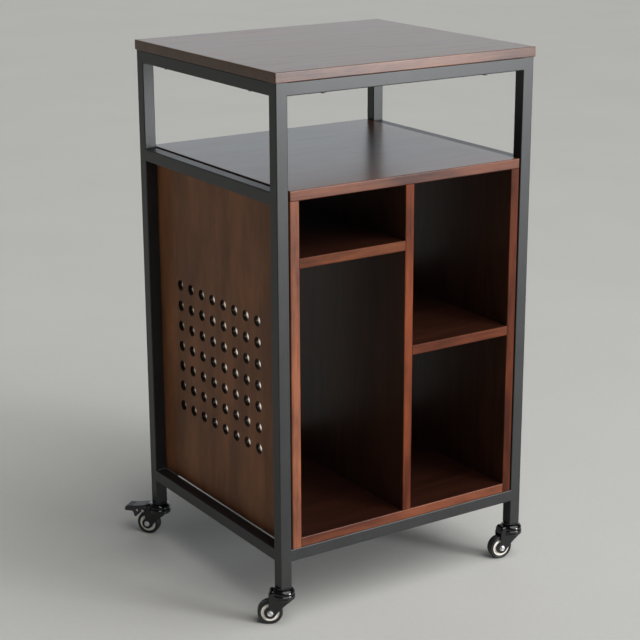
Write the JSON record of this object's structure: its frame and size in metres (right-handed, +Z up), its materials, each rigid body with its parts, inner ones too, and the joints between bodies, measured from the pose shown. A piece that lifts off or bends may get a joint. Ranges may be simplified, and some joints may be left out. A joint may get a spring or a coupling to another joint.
{
  "type": "bar cart on wheels",
  "caption": "Bar cart: black square-tube frame on swivel casters, dark wood top, and an open cabinet with cubbies between the legs.",
  "frame": {"origin": "on the floor, under the middle of the tube frame's footprint", "axes": "+X to the right seen from the front, +Y to the back, +Z up"},
  "size_m": [0.5241, 0.4869, 0.868],
  "materials": {
    "frame_paint": "satin black powder coat",
    "board_wood": "dark walnut lacquer, semi-gloss",
    "cabinet_wood": "dark reddish lacquer, semi-gloss",
    "dowel_wood": "bare beech",
    "bright_steel": "zinc plated",
    "insert_plastic": "moulded",
    "caster_black": "gloss black",
    "caster_plastic": "gloss",
    "pedal_black": "satin black",
    "tread": "smooth black tread",
    "cream_nylon": "moulded"
  },
  "bodies": {
    "cart": {"leg_front_left": "frame_paint", "leg_front_right": "frame_paint", "leg_back_left": "frame_paint", "leg_back_right": "frame_paint", "top_rail_front": "frame_paint", "top_rail_back": "frame_paint", "top_rail_left": "frame_paint", "top_rail_right": "frame_paint", "mid_rail_left": "frame_paint", "mid_rail_right": "frame_paint", "bottom_rail_front": "frame_paint", "bottom_rail_back": "frame_paint", "bottom_rail_left": "frame_paint", "bottom_rail_right": "frame_paint", "leg_inserts": "insert_plastic", "top_board": "board_wood", "top_board_screws": "bright_steel", "cabinet_top": "board_wood", "cabinet_bottom": "cabinet_wood", "cabinet_side_left": "cabinet_wood", "cabinet_side_right": "cabinet_wood", "divider": "cabinet_wood", "shelf_left": "cabinet_wood", "shelf_right": "cabinet_wood", "cabinet_dowels": "dowel_wood", "cabinet_screws": "bright_steel", "stem_front_left": "caster_black", "stem_front_right": "caster_black", "stem_back_left": "caster_black", "stem_back_right": "caster_black"},
    "swivel_front_left": {"fork_front_left": "caster_black", "axle_front_left": "bright_steel"},
    "wheel_front_left": {"tyre_front_left": "tread", "wheel_core_front_left": "cream_nylon", "hub_caps_front_left": "caster_plastic"},
    "swivel_front_right": {"fork_front_right": "caster_black", "axle_front_right": "bright_steel"},
    "wheel_front_right": {"tyre_front_right": "tread", "wheel_core_front_right": "cream_nylon", "hub_caps_front_right": "caster_plastic"},
    "swivel_back_left": {"fork_back_left": "caster_black", "axle_back_left": "bright_steel", "brake_pin_back_left": "bright_steel"},
    "wheel_back_left": {"tyre_back_left": "tread", "wheel_core_back_left": "cream_nylon", "hub_caps_back_left": "caster_plastic"},
    "pedal_back_left": {"brake_pedal_back_left": "pedal_black"},
    "swivel_back_right": {"fork_back_right": "caster_black", "axle_back_right": "bright_steel", "brake_pin_back_right": "bright_steel"},
    "wheel_back_right": {"tyre_back_right": "tread", "wheel_core_back_right": "cream_nylon", "hub_caps_back_right": "caster_plastic"},
    "pedal_back_right": {"brake_pedal_back_right": "pedal_black"}
  },
  "joints": [
    {"name": "swivel_front_left", "type": "hinge", "parent": "cart", "child": "swivel_front_left", "pos_m": [-0.228, -0.205, 0.055], "axis": [0, 0, 1], "continuous": true},
    {"name": "roll_front_left", "type": "hinge", "parent": "swivel_front_left", "child": "wheel_front_left", "pos_m": [-0.246, -0.19418, 0.02], "axis": [-0.515, -0.8572, 0], "continuous": true},
    {"name": "swivel_front_right", "type": "hinge", "parent": "cart", "child": "swivel_front_right", "pos_m": [0.228, -0.205, 0.055], "axis": [0, 0, 1], "continuous": true},
    {"name": "roll_front_right", "type": "hinge", "parent": "swivel_front_right", "child": "wheel_front_right", "pos_m": [0.20732, -0.20135, 0.02], "axis": [-0.1736, -0.9848, 0], "continuous": true},
    {"name": "swivel_back_left", "type": "hinge", "parent": "cart", "child": "swivel_back_left", "pos_m": [-0.228, 0.205, 0.055], "axis": [0, 0, 1], "continuous": true},
    {"name": "roll_back_left", "type": "hinge", "parent": "swivel_back_left", "child": "wheel_back_left", "pos_m": [-0.24093, 0.22155, 0.02], "axis": [-0.788, -0.6157, 0], "continuous": true},
    {"name": "brake_back_left", "type": "hinge", "parent": "swivel_back_left", "child": "pedal_back_left", "pos_m": [-0.24524, 0.22706, 0.044], "axis": [-0.788, -0.6157, 0], "range_deg": [0, 9]},
    {"name": "swivel_back_right", "type": "hinge", "parent": "cart", "child": "swivel_back_right", "pos_m": [0.228, 0.205, 0.055], "axis": [0, 0, 1], "continuous": true},
    {"name": "roll_back_right", "type": "hinge", "parent": "swivel_back_right", "child": "wheel_back_right", "pos_m": [0.20981, 0.2155, 0.02], "axis": [-0.5, -0.866, 0], "continuous": true},
    {"name": "brake_back_right", "type": "hinge", "parent": "swivel_back_right", "child": "pedal_back_right", "pos_m": [0.20375, 0.219, 0.044], "axis": [-0.5, -0.866, 0], "range_deg": [0, 9]}
  ]
}
